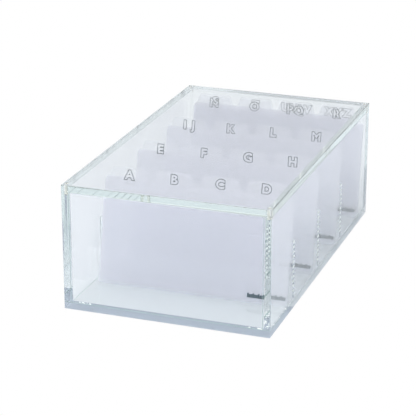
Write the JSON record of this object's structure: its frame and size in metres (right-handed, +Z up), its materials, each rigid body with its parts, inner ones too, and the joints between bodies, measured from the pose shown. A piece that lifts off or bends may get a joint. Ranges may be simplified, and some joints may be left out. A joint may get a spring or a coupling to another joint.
{
  "type": "index card box",
  "caption": "Clear acrylic card box with a pinned lift-off lid, low cross partitions and lettered tab guides that lean back and tilt forward.",
  "frame": {"origin": "middle of the box's underside", "axes": "+X to the right, +Y to the back along the box's length, +Z up"},
  "size_m": [0.115, 0.195, 0.07],
  "materials": {
    "clear_acrylic": "clear cast acrylic, polished faces, sawn and polished edges with a pale green cast",
    "clear_dowel": "clear acrylic rod",
    "frosted_sheet": "thin translucent plastic sheet, satin, faint lavender tint",
    "letter_ink": "grey printed outline letters",
    "mark_ink": "dark teal printed marks",
    "weld_bead": "white bubbles in the solvent weld"
  },
  "bodies": {
    "box": {"bottom_plate": "clear_acrylic", "left_wall": "clear_acrylic", "right_wall": "clear_acrylic", "front_wall": "clear_acrylic", "back_wall": "clear_acrylic", "partition_1": "clear_acrylic", "partition_2": "clear_acrylic", "partition_3": "clear_acrylic"},
    "lid": {"lid_plate": "clear_acrylic", "lid_pin_1": "clear_dowel", "lid_pin_2": "clear_dowel", "lid_pin_3": "clear_dowel", "lid_pin_4": "clear_dowel"},
    "guide_a": {"guide_a": "frosted_sheet"},
    "guide_b": {"guide_b": "frosted_sheet"},
    "guide_c": {"guide_c": "frosted_sheet"},
    "guide_d": {"guide_d": "frosted_sheet"},
    "guide_e": {"guide_e": "frosted_sheet"},
    "guide_f": {"guide_f": "frosted_sheet"},
    "guide_g": {"guide_g": "frosted_sheet"},
    "guide_h": {"guide_h": "frosted_sheet"},
    "guide_ij": {"guide_ij": "frosted_sheet"},
    "guide_k": {"guide_k": "frosted_sheet"},
    "guide_l": {"guide_l": "frosted_sheet"},
    "guide_m": {"guide_m": "frosted_sheet"},
    "guide_n": {"guide_n": "frosted_sheet"},
    "guide_o": {"guide_o": "frosted_sheet"},
    "guide_pq": {"guide_pq": "frosted_sheet"},
    "guide_r": {"guide_r": "frosted_sheet"},
    "guide_s": {"guide_s": "frosted_sheet"},
    "guide_t": {"guide_t": "frosted_sheet"},
    "guide_uvw": {"guide_uvw": "frosted_sheet"},
    "guide_xyz": {"guide_xyz": "frosted_sheet"}
  },
  "joints": [
    {"name": "lid_lift", "type": "slide", "parent": "box", "child": "lid", "axis": [0, 0, 1], "range_m": [0, 0.08]},
    {"name": "guide_a_tilt", "type": "hinge", "parent": "box", "child": "guide_a", "pos_m": [0.0011, -0.06627, 0.00415], "axis": [1, 0, 0], "range_deg": [0, 27]},
    {"name": "guide_b_tilt", "type": "hinge", "parent": "box", "child": "guide_b", "pos_m": [0.0011, -0.06467, 0.00415], "axis": [1, 0, 0], "range_deg": [0, 25.92]},
    {"name": "guide_c_tilt", "type": "hinge", "parent": "box", "child": "guide_c", "pos_m": [0.0011, -0.06307, 0.00415], "axis": [1, 0, 0], "range_deg": [0, 24.84]},
    {"name": "guide_d_tilt", "type": "hinge", "parent": "box", "child": "guide_d", "pos_m": [0.0011, -0.06147, 0.00415], "axis": [1, 0, 0], "range_deg": [0, 23.76]},
    {"name": "guide_e_tilt", "type": "hinge", "parent": "box", "child": "guide_e", "pos_m": [0.0011, -0.01927, 0.00415], "axis": [1, 0, 0], "range_deg": [0, 27]},
    {"name": "guide_f_tilt", "type": "hinge", "parent": "box", "child": "guide_f", "pos_m": [0.0011, -0.01767, 0.00415], "axis": [1, 0, 0], "range_deg": [0, 25.92]},
    {"name": "guide_g_tilt", "type": "hinge", "parent": "box", "child": "guide_g", "pos_m": [0.0011, -0.01607, 0.00415], "axis": [1, 0, 0], "range_deg": [0, 24.84]},
    {"name": "guide_h_tilt", "type": "hinge", "parent": "box", "child": "guide_h", "pos_m": [0.0011, -0.01447, 0.00415], "axis": [1, 0, 0], "range_deg": [0, 23.76]},
    {"name": "guide_ij_tilt", "type": "hinge", "parent": "box", "child": "guide_ij", "pos_m": [0.0011, 0.02773, 0.00415], "axis": [1, 0, 0], "range_deg": [0, 27]},
    {"name": "guide_k_tilt", "type": "hinge", "parent": "box", "child": "guide_k", "pos_m": [0.0011, 0.02933, 0.00415], "axis": [1, 0, 0], "range_deg": [0, 25.92]},
    {"name": "guide_l_tilt", "type": "hinge", "parent": "box", "child": "guide_l", "pos_m": [0.0011, 0.03093, 0.00415], "axis": [1, 0, 0], "range_deg": [0, 24.84]},
    {"name": "guide_m_tilt", "type": "hinge", "parent": "box", "child": "guide_m", "pos_m": [0.0011, 0.03253, 0.00415], "axis": [1, 0, 0], "range_deg": [0, 23.76]},
    {"name": "guide_n_tilt", "type": "hinge", "parent": "box", "child": "guide_n", "pos_m": [0.0011, 0.07495, 0.00415], "axis": [1, 0, 0], "range_deg": [0, 27]},
    {"name": "guide_o_tilt", "type": "hinge", "parent": "box", "child": "guide_o", "pos_m": [0.0011, 0.0762, 0.00415], "axis": [1, 0, 0], "range_deg": [0, 26.27]},
    {"name": "guide_pq_tilt", "type": "hinge", "parent": "box", "child": "guide_pq", "pos_m": [0.0011, 0.07745, 0.00415], "axis": [1, 0, 0], "range_deg": [0, 25.54]},
    {"name": "guide_r_tilt", "type": "hinge", "parent": "box", "child": "guide_r", "pos_m": [0.0011, 0.0787, 0.00415], "axis": [1, 0, 0], "range_deg": [0, 24.81]},
    {"name": "guide_s_tilt", "type": "hinge", "parent": "box", "child": "guide_s", "pos_m": [0.0011, 0.07995, 0.00415], "axis": [1, 0, 0], "range_deg": [0, 24.08]},
    {"name": "guide_t_tilt", "type": "hinge", "parent": "box", "child": "guide_t", "pos_m": [0.0011, 0.0812, 0.00415], "axis": [1, 0, 0], "range_deg": [0, 23.36]},
    {"name": "guide_uvw_tilt", "type": "hinge", "parent": "box", "child": "guide_uvw", "pos_m": [0.0011, 0.08245, 0.00415], "axis": [1, 0, 0], "range_deg": [0, 22.63]},
    {"name": "guide_xyz_tilt", "type": "hinge", "parent": "box", "child": "guide_xyz", "pos_m": [0.0011, 0.0837, 0.00415], "axis": [1, 0, 0], "range_deg": [0, 21.9]}
  ],
  "couplings": [
    {"joint": "guide_b_tilt", "follows": "guide_a_tilt", "ratio": 0.96},
    {"joint": "guide_c_tilt", "follows": "guide_a_tilt", "ratio": 0.92},
    {"joint": "guide_d_tilt", "follows": "guide_a_tilt", "ratio": 0.88},
    {"joint": "guide_f_tilt", "follows": "guide_e_tilt", "ratio": 0.96},
    {"joint": "guide_g_tilt", "follows": "guide_e_tilt", "ratio": 0.92},
    {"joint": "guide_h_tilt", "follows": "guide_e_tilt", "ratio": 0.88},
    {"joint": "guide_k_tilt", "follows": "guide_ij_tilt", "ratio": 0.96},
    {"joint": "guide_l_tilt", "follows": "guide_ij_tilt", "ratio": 0.92},
    {"joint": "guide_m_tilt", "follows": "guide_ij_tilt", "ratio": 0.88},
    {"joint": "guide_o_tilt", "follows": "guide_n_tilt", "ratio": 0.973},
    {"joint": "guide_pq_tilt", "follows": "guide_n_tilt", "ratio": 0.946},
    {"joint": "guide_r_tilt", "follows": "guide_n_tilt", "ratio": 0.919},
    {"joint": "guide_s_tilt", "follows": "guide_n_tilt", "ratio": 0.892},
    {"joint": "guide_t_tilt", "follows": "guide_n_tilt", "ratio": 0.865},
    {"joint": "guide_uvw_tilt", "follows": "guide_n_tilt", "ratio": 0.838},
    {"joint": "guide_xyz_tilt", "follows": "guide_n_tilt", "ratio": 0.811}
  ]
}
